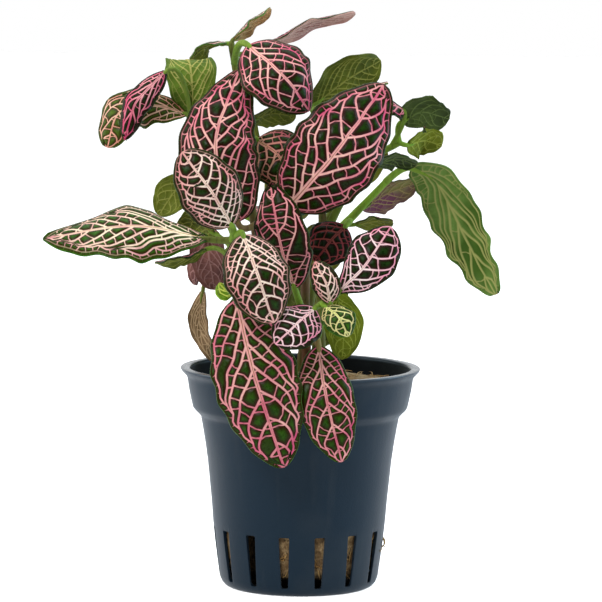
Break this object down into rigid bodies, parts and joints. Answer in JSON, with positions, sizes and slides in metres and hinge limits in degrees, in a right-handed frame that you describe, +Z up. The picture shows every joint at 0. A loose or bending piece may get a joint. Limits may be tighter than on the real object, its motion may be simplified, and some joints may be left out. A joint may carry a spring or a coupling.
{
  "type": "potted nerve plant",
  "caption": "Small nerve plant with oval, net-veined leaves on branching stems, rooted in a plug of growing medium in a slotted nursery pot.",
  "frame": {"origin": "middle of the pot's flat underside", "axes": "+Z up through the pot, -Y is the front that the picture shows, +X to its right"},
  "size_m": [0.104, 0.0871, 0.1341],
  "materials": {
    "pot_plastic": "satin moulded dark slate-blue plastic",
    "growing_medium": "matt tan-brown fibrous plug, coir and peat",
    "leaf": "satin dark green leaf with a raised net of pink and cream veins, olive underside"
  },
  "bodies": {
    "root": {"pot": "pot_plastic", "growing_medium": "growing_medium", "leafy_stem_front_left": "leaf", "leafy_stem_front_right": "leaf", "leafy_stem_centre": "leaf", "leafy_stem_tall": "leaf", "leafy_stem_left": "leaf", "leafy_stem_right": "leaf", "leafy_stem_back_right": "leaf", "leafy_stem_back": "leaf"}
  },
  "joints": []
}
